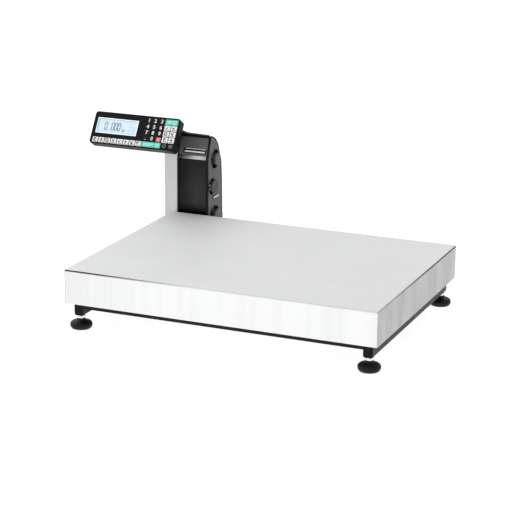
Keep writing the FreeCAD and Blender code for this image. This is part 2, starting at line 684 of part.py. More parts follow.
# ---------------------------------------------------------------- cartridge

def cartridge_panel():
    """Side panel with a round hole behind each knob and a small one for the latch pin."""
    panel = printer_prism(PANEL_X0, PANEL_X1, SHELL + COVER_GAP)
    panel = panel.cut(box(-310, -290, 300, 313.6, 70, 306))
    for y, z, radius in PANEL_HOLES + ((LATCH_Y, LATCH_Z, 2.0 + RUN_GAP),):
        panel = panel.cut(x_rod(PANEL_X0 - 1, PANEL_X1 + 1, y, z, radius))
    return panel


def cartridge_plate():
    plate = printer_prism(PLATE_X0, PLATE_X1, 6.0)
    holes = [(ROLL_Y, ROLL_Z, HUB_R + RUN_GAP), (SPOOL_Y, SPOOL_Z, 5.0 + RUN_GAP),
             (PLATEN_Y, PLATEN_Z, 3.0 + RUN_GAP), (LEVER_Y, LEVER_Z, 3.0 + RUN_GAP)]
    holes += [(y, z, GUIDE_R) for y, z in GUIDE_RODS]
    for y, z, radius in holes:
        plate = plate.cut(x_rod(PLATE_X0 - 1, PLATE_X1 + 1, y, z, radius))
    return plate


def cartridge_rods():
    """Label guide rods that run on past the plate and carry the side panel."""
    return group([x_rod(ROLL_X0, PANEL_X0, y, z, GUIDE_R) for y, z in GUIDE_RODS])


def head_lever():
    """Hand knob on a stepped axle, with a flat pointer arm inside the panel's hole."""
    arm_x0, arm_x1 = -302.0, -298.6
    axle = x_rod(PLATE_X0 - 2, PLATE_X1, LEVER_Y, LEVER_Z, 3.0)
    neck = x_rod(PLATE_X1 + 0.4, -293.5, LEVER_Y, LEVER_Z, 7.0)
    link = x_rod(PLATE_X1, PLATE_X1 + 0.4, LEVER_Y, LEVER_Z, 3.0)
    arm = box(arm_x0, arm_x1, LEVER_Y, LEVER_Y + 25, LEVER_Z - 2, LEVER_Z + 2)
    arm = arm.makeFillet(1.0, edges_along(arm, X_AXIS)[1:3])
    knob = x_rod(-293.5, -289, LEVER_Y, LEVER_Z, LEVER_KNOB_R)
    knob = knob.makeFillet(1.2, outer_rim(knob, -289))
    lever = join([axle, link, neck, arm, knob])
    lever.rotate(V(0, LEVER_Y, LEVER_Z), X_AXIS, LEVER_REST)
    return lever


def cartridge_latch():
    """Flat spring bar with its end pinned in the side panel."""
    half = 2.4
    bar = box(-297.1, -294.9, LATCH_Y - half, LATCH_Y + LATCH_L, LATCH_Z - half, LATCH_Z + half)
    bar = bar.makeFillet(1.6, edges_along(bar, X_AXIS))
    return join([bar, x_rod(-299.5, -297.1, LATCH_Y, LATCH_Z, 2.0)])


def label_roll():
    return ring(ROLL_X0, -313, ROLL_Y, ROLL_Z, ROLL_R, HUB_R)


def roll_hub():
    """Hollow hub that turns in the plate, with a round hand knob outside the panel."""
    shaft = x_rod(ROLL_X0 - 2, -289, ROLL_Y, ROLL_Z, HUB_R)
    knob = x_rod(-289, -285, ROLL_Y, ROLL_Z, HUB_KNOB_R)
    knob = knob.makeFillet(1.2, outer_rim(knob, -285))
    return join([shaft, knob]).cut(x_rod(ROLL_X0 - 3, -291, ROLL_Y, ROLL_Z, 9.0))


def rewinder_spool():
    core = x_rod(ROLL_X0, -312, SPOOL_Y, SPOOL_Z, SPOOL_CORE_R)
    flange = x_rod(-312, -310, SPOOL_Y, SPOOL_Z, 18.0)
    axle = x_rod(-310, -292, SPOOL_Y, SPOOL_Z, 5.0)
    spool = join([core, flange, axle])
    return spool.cut(box(ROLL_X0 - 1, -316, SPOOL_Y - 1, SPOOL_Y + 1, SPOOL_Z, SPOOL_Z + 12))


def rewinder_knob():
    knob = x_rod(-292, -287, SPOOL_Y, SPOOL_Z, SPOOL_KNOB_R)
    return knob.makeFillet(1.2, outer_rim(knob, -287))


def platen_roller():
    """Rubber sleeve on its steel shaft."""
    sleeve = x_rod(ROLL_X0, -312, PLATEN_Y, PLATEN_Z, PLATEN_R)
    shaft = x_rod(GEAR_X0, PLATE_X1, PLATEN_Y, PLATEN_Z, 3.0)
    return join([sleeve, shaft])


def platen_gear():
    y, z, phase = gear_train()["platen"]
    return gear(y, z, PLATEN_TEETH, phase, 3.0)


def main():
    os.makedirs("parts", exist_ok=True)
    pieces = {
        "weighing_pan": weighing_pan, "side_rails": side_rails, "rail_end_plugs": rail_end_plugs,
        "foot_bushes": foot_bushes, "centre_beam": centre_beam, "load_cell": load_cell,
        "load_cell_mounts": load_cell_mounts, "load_frame": load_frame, "load_frame_pads": load_frame_pads,
        "overload_stops": overload_stops, "signal_box": signal_box, "rear_bracket": rear_bracket,
        "mounting_screws": mounting_screws, "bubble_level": bubble_level, "level_vial": level_vial,
        "column": column, "column_cap": column_cap, "hinge_bracket": hinge_bracket, "hinge_bolt": hinge_bolt,
        "terminal_bezel": terminal_bezel, "terminal_shell": terminal_shell, "key_panel": key_panel,
        "display_window": display_window, "display_module": display_module, "terminal_board": terminal_board,
        "terminal_lug": terminal_lug, "printer_housing": printer_housing,
        "printer_front_cover": printer_front_cover, "printer_head_cover": printer_head_cover,
        "label_exit_lip": label_exit_lip, "label": label, "print_head": print_head,
        "drive_motor": drive_motor, "motor_pinion": motor_pinion, "idler_gear": idler_gear,
        "power_inlet": power_inlet, "cartridge_panel": cartridge_panel, "cartridge_plate": cartridge_plate,
        "cartridge_rods": cartridge_rods, "cartridge_latch": cartridge_latch, "head_lever": head_lever,
        "label_roll": label_roll, "roll_hub": roll_hub, "rewinder_spool": rewinder_spool,
        "rewinder_knob": rewinder_knob, "platen_roller": platen_roller, "platen_gear": platen_gear,
    }
    for name, make in pieces.items():
        save(name, make())
    save("cross_rails", group([cross_rail(-1), cross_rail(1)]))
    for number, (x, y) in enumerate(corners(FOOT_X, FOOT_Y), 1):
        save(f"foot_stud_{number}", foot_stud(x, y))
        save(f"foot_pad_{number}", foot_pad(x, y))
        save(f"foot_nut_{number}", foot_nut(x, y))


main()
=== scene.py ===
"""Looks of the label printing scale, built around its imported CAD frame. Metres throughout."""

import json
import math

import bpy
from mathutils import Matrix, Vector


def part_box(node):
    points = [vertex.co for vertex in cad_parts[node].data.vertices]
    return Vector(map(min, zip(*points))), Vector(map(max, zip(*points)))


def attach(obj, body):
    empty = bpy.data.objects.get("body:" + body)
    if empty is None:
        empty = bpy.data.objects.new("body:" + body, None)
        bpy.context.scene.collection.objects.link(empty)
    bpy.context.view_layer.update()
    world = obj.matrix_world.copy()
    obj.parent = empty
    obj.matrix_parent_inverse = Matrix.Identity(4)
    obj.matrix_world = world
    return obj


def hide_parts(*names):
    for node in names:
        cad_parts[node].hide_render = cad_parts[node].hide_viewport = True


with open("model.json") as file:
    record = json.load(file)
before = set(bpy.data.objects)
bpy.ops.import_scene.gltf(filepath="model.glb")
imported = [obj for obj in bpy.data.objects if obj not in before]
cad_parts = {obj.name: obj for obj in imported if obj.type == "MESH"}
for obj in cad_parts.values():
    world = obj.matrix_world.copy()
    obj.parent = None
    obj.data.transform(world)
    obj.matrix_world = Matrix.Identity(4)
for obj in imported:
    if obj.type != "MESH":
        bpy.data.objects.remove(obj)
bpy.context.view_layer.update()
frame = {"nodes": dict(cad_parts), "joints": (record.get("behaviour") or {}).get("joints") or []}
NODES = frame["nodes"]
MM = 0.001

# ---------------------------------------------------------------- places read from the frame


def joint(name):
    return next(j for j in frame["joints"] if j["name"] == name)


PAN_LOW, PAN_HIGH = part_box("weighing_pan")
PANEL_LOW, PANEL_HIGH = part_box("key_panel")
COVER_LOW, COVER_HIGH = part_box("printer_front_cover")
HOUSING_LOW, HOUSING_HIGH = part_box("printer_housing")
ROLL = Vector(joint("roll_spin")["pos_m"])
SPOOL = Vector(joint("rewinder_spin")["pos_m"])

# ---------------------------------------------------------------- mesh helpers


def add_mesh(name, verts, faces, look, body, smooth=False):
    """Makes a mesh piece that rides on a body and takes the given look as its finish."""
    data = bpy.data.meshes.new(name)
    data.from_pydata([tuple(v) for v in verts], [], faces)
    data.validate()
    data.materials.append(look.material)
    piece = bpy.data.objects.new(name, data)
    bpy.context.scene.collection.objects.link(piece)
    for polygon in data.polygons:
        polygon.use_smooth = smooth
    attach(piece, body)
    return piece


def shaded(colour, factor):
    """A colour made darker or lighter."""
    return tuple(min(1.0, c * factor) for c in colour)


def merge(parts):
    """Joins (verts, faces) pairs into one."""
    verts, faces = [], []
    for part_verts, part_faces in parts:
        start = len(verts)
        verts += part_verts
        faces += [tuple(start + i for i in face) for face in part_faces]
    return verts, faces


def round_outline(x0, x1, y0, y1, radius, steps=5):
    """Points of a rectangle with rounded corners, anticlockwise."""
    points = []
    for cx, cy, first in ((x1, y1, 0), (x0, y1, 1), (x0, y0, 2), (x1, y0, 3)):
        mx = cx - radius if cx == x1 else cx + radius
        my = cy - radius if cy == y1 else cy + radius
        for i in range(steps + 1):
            turn = (first + i / steps) * math.pi / 2
            points.append((mx + radius * math.cos(turn), my + radius * math.sin(turn)))
    return points


def plate(outline, place, low, high, edge=0.0):
    """A thin plate over a 2-D outline; place(a, b, h) gives the point at height h; edge rounds the rim."""
    count = len(outline)
    cx = sum(p[0] for p in outline) / count
    cy = sum(p[1] for p in outline) / count

    def shrunk(by):
        points = []
        for a, b in outline:
            length = math.hypot(a - cx, b - cy)
            points.append((a - (a - cx) / length * by, b - (b - cy) / length * by))
        return points

    levels = [(outline, low), (outline, high - edge)]
    if edge:
        levels.append((shrunk(edge * 0.4), high - edge * 0.3))
        levels.append((shrunk(edge), high))
    verts = [place(a, b, h) for points, h in levels for a, b in points]
    faces = [tuple(reversed(range(count)))]
    for level in range(len(levels) - 1):
        base = level * count
        for i in range(count):
            j = (i + 1) % count
            faces.append((base + i, base + j, base + count + j, base + count + i))
    faces.append(tuple(range((len(levels) - 1) * count, len(levels) * count)))
    return verts, faces


def ring_faces(rings, segments):
    """Faces between neighbouring rings of points, and a cap on the first and the last ring."""
    faces = []
    for ring in range(rings - 1):
        for i in range(segments):
            j = (i + 1) % segments
            faces.append((ring * segments + i, ring * segments + j,
                          (ring + 1) * segments + j, (ring + 1) * segments + i))
    faces.append(tuple(reversed(range(segments))))
    faces.append(tuple((rings - 1) * segments + i for i in range(segments)))
    return faces


def lathe(profile, at, axis="z", segments=48, ripple=None):
    """Turns (radius, height) points about an axis; ripple(turn, index) scales the radius."""
    verts = []
    for index, (radius, height) in enumerate(profile):
        for i in range(segments):
            turn = 2 * math.pi * i / segments
            reach = radius * (ripple(turn, index) if ripple else 1.0)
            a, b = reach * math.cos(turn), reach * math.sin(turn)
            offset = Vector((a, b, height)) if axis == "z" else Vector((height, a, b))
            verts.append(at + offset)
    return verts, ring_faces(len(profile), segments)


# ---------------------------------------------------------------- material helpers


class Look:
    """One Principled material with short ways to add nodes."""

    def __init__(self, name, colour, roughness, metallic=0.0):
        self.material = bpy.data.materials.new(name)
        self.material.use_nodes = True
        self.tree = self.material.node_tree
        self.shader = self.tree.nodes["Principled BSDF"]
        self.shader.inputs["Base Color"].default_value = (*colour, 1)
        self.shader.inputs["Roughness"].default_value = roughness
        self.shader.inputs["Metallic"].default_value = metallic
        self.place = self.tree.nodes.new("ShaderNodeTexCoord").outputs["Object"]
        self.normal = None

    def node(self, kind, **inputs):
        made = self.tree.nodes.new(kind)
        for key, value in inputs.items():
            socket = made.inputs[key.replace("_", " ")]
            if isinstance(value, bpy.types.NodeSocket):
                self.tree.links.new(value, socket)
            else:
                socket.default_value = value
        return made

    def scaled(self, x, y, z):
        return self.node("ShaderNodeMapping", Vector=self.place, Scale=(x, y, z)).outputs["Vector"]

    def noise(self, scale, detail=4.0, roughness=0.55, vector=None, distortion=0.0):
        made = self.node("ShaderNodeTexNoise", Vector=vector or self.place, Scale=scale, Detail=detail,
                         Roughness=roughness, Distortion=distortion)
        return made.outputs["Fac"]

    def cells(self, scale, feature="F1", vector=None):
        made = self.node("ShaderNodeTexVoronoi", Vector=vector or self.place, Scale=scale)
        made.feature = feature
        return made.outputs["Distance"]

    def math(self, operation, a, b=0.0):
        made = self.tree.nodes.new("ShaderNodeMath")
        made.operation = operation
        for socket, value in zip(made.inputs, (a, b)):
            if isinstance(value, bpy.types.NodeSocket):
                self.tree.links.new(value, socket)
            else:
                socket.default_value = value
        return made.outputs[0]

    def weighted(self, a, share_a, b, share_b):
        """Two values added by their shares."""
        return self.math("ADD", self.math("MULTIPLY", a, share_a), self.math("MULTIPLY", b, share_b))

    def spread(self, value, low, high, out_low=0.0, out_high=1.0):
        made = self.node("ShaderNodeMapRange", Value=value)
        made.clamp = True
        for key, number in (("From Min", low), ("From Max", high), ("To Min", out_low), ("To Max", out_high)):
            made.inputs[key].default_value = number
        return made.outputs["Result"]

    def ramp(self, value, stops):
        made = self.tree.nodes.new("ShaderNodeValToRGB")
        self.tree.links.new(value, made.inputs["Fac"])
        elements = made.color_ramp.elements
        while len(elements) < len(stops):
            elements.new(0.5)
        for element, (position, colour) in zip(elements, stops):
            element.position = position
            element.color = (*colour, 1)
        return made.outputs["Color"]

    def mix(self, factor, a, b):
        made = self.tree.nodes.new("ShaderNodeMix")
        made.data_type = "RGBA"
        for socket, value in ((made.inputs[0], factor), (made.inputs[6], a), (made.inputs[7], b)):
            if isinstance(value, bpy.types.NodeSocket):
                self.tree.links.new(value, socket)
            elif socket == made.inputs[0]:
                socket.default_value = value
            else:
                socket.default_value = (*value, 1)
        return made.outputs[2]

    def axis(self, index, source=None):
        split = self.node("ShaderNodeSeparateXYZ", Vector=source or self.place)
        return split.outputs[index]

    def colour(self, socket):
        self.tree.links.new(socket, self.shader.inputs["Base Color"])

    def rough(self, socket):
        self.tree.links.new(socket, self.shader.inputs["Roughness"])

    def soften(self, radius):
        """Rounds the shading of sharp edges."""
        self.normal = self.node("ShaderNodeBevel", Radius=radius).outputs["Normal"]
        self.normal.node.samples = 4
        self.tree.links.new(self.normal, self.shader.inputs["Normal"])

    def bump(self, height, strength, distance):
        made = self.node("ShaderNodeBump", Height=height, Strength=strength, Distance=distance)
        if self.normal:
            self.tree.links.new(self.normal, made.inputs["Normal"])
        self.normal = made.outputs["Normal"]
        self.tree.links.new(self.normal, self.shader.inputs["Normal"])

    def edge_mask(self, radius):
        """One on sharp edges and zero on flat faces."""
        bevel = self.node("ShaderNodeBevel", Radius=radius)
        bevel.samples = 4
        flat = self.tree.nodes.new("ShaderNodeNewGeometry").outputs["Normal"]
        dot = self.tree.nodes.new("ShaderNodeVectorMath")
        dot.operation = "DOT_PRODUCT"
        self.tree.links.new(bevel.outputs["Normal"], dot.inputs[0])
        self.tree.links.new(flat, dot.inputs[1])
        return self.spread(dot.outputs["Value"], 0.99, 0.86, 0.0, 1.0)


def painted_bend_reflections(look, side, front):
    """Dark reflections painted along the pan's top and corner bends, fading along each side."""
    x, y, z = look.axis(0), look.axis(1), look.axis(2)
    rim = look.spread(z, PAN_HIGH.z - 5.8 * MM, PAN_HIGH.z - 3.4 * MM)
    fade = look.spread(x, PAN_LOW.x + 90.8 * MM, PAN_LOW.x + 330.8 * MM, 1.0, 0.2)
    left_end = look.spread(x, PAN_LOW.x + 2.3 * MM, PAN_LOW.x + 2.8 * MM, 1.0, 0.0)
    along_front = look.math("MAXIMUM", fade, left_end)
    along_side = look.spread(y, PAN_LOW.y + 53 * MM, PAN_LOW.y + 353 * MM, 0.15, 1.0)
    left_corner = look.spread(x, PAN_LOW.x + 1.8 * MM, PAN_LOW.x + 2.6 * MM, 0.6, 0.0)
    back_corner = look.spread(y, PAN_HIGH.y - 2.4 * MM, PAN_HIGH.y - 1.6 * MM, 0.0, 0.6)
    corner = look.math("MAXIMUM", left_corner, back_corner)
    on_front = look.math("MULTIPLY", front, look.math("MULTIPLY", rim, along_front))
    on_side = look.math("MULTIPLY", side, look.math("MULTIPLY", rim, along_side))
    on_corner = look.math("MULTIPLY", look.math("MAXIMUM", side, front), corner)
    return look.math("MAXIMUM", look.math("MAXIMUM", on_front, on_side), on_corner)


def brush_lines(look, x, y, z):
    """Fine and broad brushing, drawn out along the axis with the small scale."""
    vector = look.scaled(x, y, z)
    return look.weighted(look.noise(900.0, 3.0, 0.6, vector), 0.5, look.noise(160.0, 4.0, 0.65, vector), 0.5)


def steel_tones(look, colour):
    """Brushing along X, its tone together with broad clouds, and the colour that gives."""
    brush = brush_lines(look, 0.012, 1.0, 1.0)
    tone = look.weighted(brush, 0.5, look.noise(7.0, 4.0, 0.6), 0.5)
    shade = look.ramp(tone, [(0.36, shaded(colour, 0.93)), (0.64, shaded(colour, 1.05))])
    return brush, tone, shade


def steel_gloss(look, tone, roughness):
    return look.spread(tone, 0.3, 0.7, roughness - 0.05, roughness + 0.06)


def brushed_steel(name, colour, roughness, metal):
    """Steel with fine brushing along X."""
    look = Look(name, colour, roughness, metal)
    look.soften(0.8 * MM)
    brush, tone, shade = steel_tones(look, colour)
    look.colour(shade)
    look.rough(steel_gloss(look, tone, roughness))
    look.bump(brush, 0.08, 0.05 * MM)
    return look


def folded_steel(name, colour, roughness, metal):
    """Brushed sheet folded down at its edges, with each face's light and shade painted into its colour.

    The skirts that look along X are brushed along Y and painted darker as shade, those along Y are
    streaked and painted lighter to the right, and the top is less metallic, rougher and painted flatter.
    """
    look = Look(name, colour, roughness, metal)
    look.soften(0.8 * MM)
    brush, tone, shade = steel_tones(look, colour)
    facing = look.tree.nodes.new("ShaderNodeTexCoord").outputs["Normal"]
    side = look.math("GREATER_THAN", look.math("ABSOLUTE", look.axis(0, facing)), 0.7)
    front = look.math("GREATER_THAN", look.math("ABSOLUTE", look.axis(1, facing)), 0.7)
    top = look.math("GREATER_THAN", look.axis(2, facing), 0.7)

    # Painted shade: the skirts that look along X are coloured 0.50 to 0.60 of the steel, in patches
    side_mottle = look.noise(16.0, 4.0, 0.6, look.scaled(1.0, 1.0, 0.35))
    side_shade = look.ramp(side_mottle, [(0.35, shaded(colour, 0.50)), (0.65, shaded(colour, 0.60))])
    # Painted light: the front and back skirts are streaked and grow lighter to the right
    streaks = look.noise(30.0, 4.0, 0.6, look.scaled(1.0, 1.0, 0.03))
    to_right = look.spread(look.axis(0), PAN_LOW.x + 0.8 * MM, PAN_LOW.x + 340.8 * MM, 0.0, 0.3)
    front_shade = look.ramp(look.math("ADD", streaks, to_right),
                            [(0.20, shaded(colour, 0.88)), (0.85, shaded(colour, 1.01))])
    # Painted flatter colour on the faces that look along neither X nor Y, mostly the top
    flat_shade = look.mix(0.6, shade, shaded(colour, 0.96))
    shade = look.mix(side, look.mix(front, flat_shade, front_shade), side_shade)
    # Painted reflection: dark lines along the pan's top and corner bends
    look.colour(look.mix(painted_bend_reflections(look, side, front), shade, (0.05, 0.05, 0.055)))

    metal_here = look.math("SUBTRACT", metal, look.math("MULTIPLY", top, 0.45 * metal))
    look.tree.links.new(metal_here, look.shader.inputs["Metallic"])
    look.rough(look.math("ADD", steel_gloss(look, tone, roughness), look.math("MULTIPLY", top, 0.2)))
    across = brush_lines(look, 1.0, 0.012, 1.0)
    look.bump(look.weighted(brush, look.math("SUBTRACT", 1.0, side), across, side), 0.08, 0.05 * MM)
    return look


def moulded(name, colour, roughness, grain=0.9, bump=0.25, shine=0.18, rub=0.3, index=1.5):
    """Moulded plastic with a spark-eroded grain of the given size in millimetres, and edges lightened as
    rubbed wear and as a painted highlight.
    """
    look = Look(name, colour, roughness)
    look.soften(0.7 * MM)
    pits = look.noise(1000.0 / grain, 2.0, 0.5)
    broad = look.noise(28.0, 4.0, 0.6)
    tone = look.weighted(pits, 0.4, broad, 0.6)
    base = look.ramp(tone, [(0.35, shaded(colour, 0.8)), (0.65, shaded(colour, 1.22))])
    # Edges lightened partly as rubbed wear and partly as a painted highlight
    wear_and_highlight = tuple(min(1.0, c * 1.7 + 0.02) for c in colour)
    look.colour(look.mix(look.math("MULTIPLY", look.edge_mask(0.6 * MM), rub), base, wear_and_highlight))
    look.rough(look.spread(tone, 0.35, 0.65, roughness + 0.06, roughness - 0.06))
    look.bump(pits, bump, 0.08 * MM)
    look.shader.inputs["Specular IOR Level"].default_value = shine
    look.shader.inputs["IOR"].default_value = index
    return look


def front_moulding(name, colour):
    """Smooth moulding with painted light and shade: a painted reflection lighter towards the middle right,
    and painted shade near black just over the pan.
    """
    look = moulded(name, colour, 0.3, grain=2.5, bump=0.04, shine=0.12, index=1.3)
    base = look.shader.inputs["Base Color"].links[0].from_socket
    # Painted reflection and shade: the colour falls to near black just over the pan and is lightest towards
    # the middle right
    rise = look.spread(look.axis(2), PAN_HIGH.z + 4.4 * MM, PAN_HIGH.z + 28.4 * MM)
    run = look.spread(look.axis(0), COVER_LOW.x - 0.7 * MM, COVER_LOW.x + 50.3 * MM, 0.2, 1.0)
    fall = look.spread(look.axis(2), COVER_HIGH.z - 100.5 * MM, COVER_HIGH.z - 0.5 * MM, 1.0, 0.40)
    painted_light = look.math("MULTIPLY", rise, look.math("MULTIPLY", run, fall))
    look.colour(look.mix(painted_light, (0.002, 0.002, 0.002), base))
    return look


def powder_coat(name, colour):
    """Black powder coat: fine orange peel, dust in the hollows, and edges lightened as rubbed wear and as a
    painted highlight.
    """
    look = Look(name, colour, 0.42)
    look.soften(1.0 * MM)
    peel = look.noise(520.0, 2.0, 0.5)
    dust = look.noise(14.0, 6.0, 0.62)
    base = look.ramp(dust, [(0.4, colour), (0.72, tuple(c * 1.5 + 0.004 for c in colour))])
    # Edges lightened partly as rubbed wear and partly as a painted highlight
    look.colour(look.mix(look.math("MULTIPLY", look.edge_mask(0.9 * MM), 0.2), base, (0.06, 0.06, 0.062)))
    look.rough(look.spread(dust, 0.35, 0.7, 0.36, 0.55))
    look.bump(peel, 0.22, 0.12 * MM)
    look.shader.inputs["Specular IOR Level"].default_value = 0.2
    return look


def plated(name, colour, roughness):
    """Bright plate with cloudy patches and faint handling marks."""
    look = Look(name, colour, roughness, 1.0)
    look.soften(0.4 * MM)
    patches = look.cells(260.0)
    stain = look.noise(90.0, 5.0, 0.6, distortion=0.6)
    tone = look.weighted(patches, 0.5, stain, 0.6)
    look.colour(look.ramp(tone, [(0.25, shaded(colour, 0.78)), (0.6, colour)]))
    look.rough(look.spread(tone, 0.2, 0.8, roughness - 0.05, roughness + 0.15))
    look.bump(stain, 0.06, 0.05 * MM)
    return look


def lip_plate(name, colour):
    """Plated strip with a painted highlight right of the middle and painted shade at its ends."""
    look = plated(name, colour, 0.3)
    base = look.shader.inputs["Base Color"].links[0].from_socket
    # Painted highlight right of the middle, falling off to painted shade at the strip's ends
    peak = COVER_HIGH.x - 29.7 * MM
    from_highlight = look.math("ABSOLUTE", look.math("SUBTRACT", look.axis(0), peak))
    look.colour(look.mix(look.spread(from_highlight, 10 * MM, 45 * MM, 1.0, 0.0), shaded(colour, 0.12), base))
    return look


def rubber(name, colour):
    look = Look(name, colour, 0.7)
    look.soften(0.5 * MM)
    specks = look.noise(1400.0, 3.0, 0.6)
    bloom = look.noise(60.0, 5.0, 0.6)
    look.colour(look.ramp(bloom, [(0.35, colour), (0.7, tuple(c * 1.5 + 0.01 for c in colour))]))
    look.rough(look.spread(specks, 0.3, 0.7, 0.62, 0.82))
    look.bump(specks, 0.3, 0.06 * MM)
    return look


def machined(name, colour):
    """Milled aluminium: fine tool lines across each face."""
    look = Look(name, colour, 0.32, 1.0)
    look.soften(0.5 * MM)
    lines = look.noise(700.0, 2.0, 0.5, look.scaled(1.0, 0.05, 1.0))
    haze = look.noise(40.0, 4.0, 0.6)
    look.colour(look.ramp(haze, [(0.3, shaded(colour, 0.85)), (0.7, colour)]))
    look.rough(look.spread(lines, 0.3, 0.7, 0.24, 0.42))
    look.bump(lines, 0.1, 0.04 * MM)
    return look


def paper(name, colour):
    """Thermal paper with a fine fibre."""
    look = Look(name, colour, 0.6)
    fibres = look.noise(1800.0, 4.0, 0.7)
    look.colour(look.ramp(fibres, [(0.3, shaded(colour, 0.93)), (0.6, colour)]))
    look.bump(fibres, 0.15, 0.05 * MM)
    return look


def wound_paper(name, colour):
    """A roll of thermal paper, whose end faces show the turns."""
    layer = 0.45 * MM
    look = Look(name, colour, 0.6)
    y = look.math("SUBTRACT", look.axis(1), ROLL.y)
    z = look.math("SUBTRACT", look.axis(2), ROLL.z)
    radius = look.math("SQRT", look.math("ADD", look.math("MULTIPLY", y, y), look.math("MULTIPLY", z, z)))
    turns = look.math("SINE", look.math("MULTIPLY", radius, 2 * math.pi / layer))
    layers = look.spread(turns, -1.0, 1.0)
    look.colour(look.ramp(layers, [(0.0, shaded(colour, 0.72)), (0.7, colour)]))
    look.bump(layers, 0.15, 0.05 * MM)
    return look


def clear(name, colour, alpha):
    look = Look(name, colour, 0.06)
    smudge = look.noise(30.0, 5.0, 0.6)
    look.rough(look.spread(smudge, 0.4, 0.8, 0.04, 0.16))
    look.shader.inputs["Alpha"].default_value = alpha
    look.shader.inputs["Specular IOR Level"].default_value = 0.5
    return look


def lit_display(name, colour, glow):
    """Pale lit field with a soft mottle and the fine columns of the cell."""
    look = Look(name, colour, 0.5)
    mottled = look.noise(40.0, 3.0, 0.5)
    columns = look.noise(2200.0, 1.0, 0.5, look.scaled(1.0, 0.02, 0.02))
    tone = look.weighted(mottled, 0.8, columns, 0.2)
    shade = look.ramp(tone, [(0.35, shaded(colour, 0.94)), (0.65, shaded(colour, 1.05))])
    look.colour(shade)
    look.tree.links.new(shade, look.shader.inputs["Emission Color"])
    look.shader.inputs["Emission Strength"].default_value = glow
    look.shader.inputs["Specular IOR Level"].default_value = 0.1
    return look


def circuit_board(name):
    look = Look(name, (0.02, 0.16, 0.07), 0.45)
    tracks = look.cells(220.0, "DISTANCE_TO_EDGE", look.scaled(1.0, 1.0, 0.35))
    line = look.spread(tracks, 0.02, 0.06, 1.0, 0.0)
    look.colour(look.mix(line, (0.02, 0.14, 0.06), (0.05, 0.30, 0.14)))
    look.bump(line, 0.2, 0.05 * MM)
    return look


def printed_film(name, colour, roughness=0.4, shine=0.2):
    """Printed polyester film: even colour with a fine matt grain."""
    look = Look(name, colour, roughness)
    grain = look.noise(2600.0, 2.0, 0.5)
    haze = look.noise(35.0, 3.0, 0.5)
    tone = look.weighted(grain, 0.5, haze, 0.5)
    look.colour(look.ramp(tone, [(0.35, shaded(colour, 0.9)), (0.65, shaded(colour, 1.06))]))
    look.rough(look.spread(tone, 0.35, 0.65, roughness - 0.04, roughness + 0.07))
    look.bump(grain, 0.12, 0.03 * MM)
    look.shader.inputs["Specular IOR Level"].default_value = shine
    return look


PAN_STEEL = folded_steel("pan_steel", (0.88, 0.885, 0.89), 0.45, 0.85)
COLUMN_STEEL = brushed_steel("column_steel", (0.62, 0.625, 0.63), 0.5, 0.6)
FRAME_BLACK = powder_coat("frame_black", (0.006, 0.006, 0.0065))
BLACK = moulded("black_moulding", (0.010, 0.010, 0.0105), 0.42, grain=0.7, bump=0.2, shine=0.25, rub=0.6,
                index=1.28)
GREY = moulded("grey_moulding", (0.115, 0.115, 0.117), 0.5, grain=1.1, bump=0.45, shine=0.25)
SMOOTH = front_moulding("smooth_cover", (0.045, 0.045, 0.046))
SILVER = lip_plate("lip_plate", (0.72, 0.72, 0.73))
FOOT_BLACK = moulded("foot_black", (0.006, 0.006, 0.006), 0.45, grain=0.8, bump=0.25, shine=0.25)
ZINC = plated("zinc_plate", (0.86, 0.87, 0.88), 0.24)
LATCH_STEEL = plated("latch_steel", (0.55, 0.55, 0.55), 0.32)
# Painted shade: the cartridge plate is coloured black so the hollow round the rewinder knob reads dark
PLATE_SHADE_BLACK = plated("shade_black_plate", (0.010, 0.010, 0.011), 0.5)
MOTOR_BLACK = powder_coat("motor_black", (0.02, 0.02, 0.021))
ALUMINIUM = machined("milled_aluminium", (0.78, 0.79, 0.80))
RUBBER = rubber("black_rubber", (0.02, 0.02, 0.02))
PAPER = paper("label_paper", (0.90, 0.90, 0.88))
WOUND = wound_paper("wound_paper", (0.88, 0.88, 0.86))
LEVEL_FLUID = clear("level_fluid", (0.45, 0.85, 0.20), 0.6)
WINDOW = clear("display_glass", (0.9, 0.95, 1.0), 0.06)
DISPLAY = lit_display("display_field", (0.62, 0.76, 0.86), 0.30)
LCD_BORDER = lit_display("display_border", (0.80, 0.92, 0.97), 0.34)
BOARD = circuit_board("circuit_board")
ACETAL = moulded("natural_acetal", (0.78, 0.76, 0.70), 0.36, grain=1.6, bump=0.08)
SPOOL_GREY = moulded("spool_grey", (0.085, 0.085, 0.087), 0.5, grain=1.0, bump=0.3, shine=0.25)
HUB_RIB = moulded("hub_ribs", (0.30, 0.30, 0.30), 0.5, grain=1.0, bump=0.3)
PANEL_FILM = printed_film("panel_film", (0.005, 0.005, 0.0055), 0.3, 0.15)
KEY_WHITE = printed_film("key_white", (0.93, 0.93, 0.93))
KEY_TEAL = printed_film("key_teal", (0.09, 0.74, 0.62))
KEY_RED = printed_film("key_red", (0.95, 0.16, 0.20))
KEY_DARK = printed_film("key_dark", (0.012, 0.012, 0.013), 0.35, 0.15)
INK_WHITE = printed_film("ink_white", (0.97, 0.97, 0.97))
INK_DARK = printed_film("ink_dark", (0.03, 0.03, 0.035))
INK_GREY = printed_film("ink_grey", (0.42, 0.42, 0.42))
LCD_INK = printed_film("lcd_ink", (0.03, 0.045, 0.10), 0.5, 0.05)
LCD_FAINT = printed_film("lcd_faint", (0.40, 0.52, 0.66), 0.5, 0.05)

